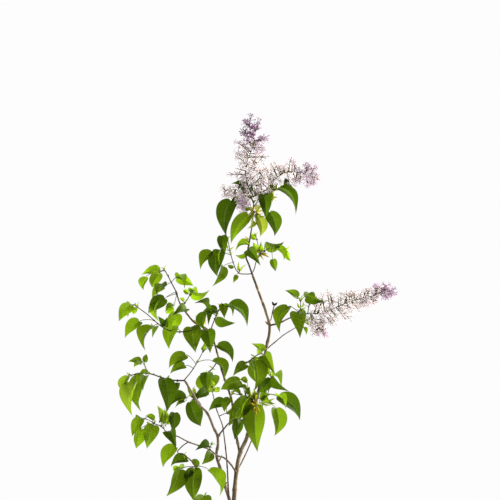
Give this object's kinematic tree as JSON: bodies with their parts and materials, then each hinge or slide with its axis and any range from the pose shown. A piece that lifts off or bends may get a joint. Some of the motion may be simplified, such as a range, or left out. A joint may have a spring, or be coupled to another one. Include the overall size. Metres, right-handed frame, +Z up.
{
  "type": "lilac bush in a pot",
  "caption": "Young lilac bush in bloom: slender grey-brown stems, heart-shaped leaves and pale lilac panicles, standing in a plain clay pot of soil.",
  "frame": {"origin": "centre of the pot's flat underside", "axes": "+Z up, -Y towards the side the bush is seen from, +X to the right of that view"},
  "size_m": [0.5472, 0.3241, 1.0414],
  "materials": {
    "pot": "matte",
    "soil": "matte",
    "bark": "matte",
    "leaf": "satin",
    "blossom": "matte"
  },
  "bodies": {
    "root": {"pot": "pot", "soil": "soil", "main_stem": "bark", "left_stem": "bark", "left_bough": "bark", "front_bough": "bark", "slender_stem": "bark", "right_thin_twig": "bark", "right_branch": "bark", "right_long_twig": "bark", "dead_twig": "bark", "short_spur": "bark", "top_blossom": "blossom", "right_blossom": "blossom", "top_shoot": "leaf", "high_left_shoot": "leaf", "bough_side_shoot": "leaf", "inner_left_shoot": "leaf", "far_left_shoot": "leaf", "mid_left_shoot": "leaf", "inner_shoot": "leaf", "low_left_shoot": "leaf", "low_mid_shoot": "leaf", "hanging_shoot": "leaf", "low_back_shoot": "leaf", "centre_upper_shoot": "leaf", "centre_right_shoot": "leaf", "centre_left_shoot": "leaf", "back_shoot": "leaf", "back_left_shoot": "leaf", "spur_shoot": "leaf", "right_shoot": "leaf", "right_low_shoot": "leaf", "slender_shoot": "leaf", "slender_side_shoot": "leaf"}
  },
  "joints": []
}
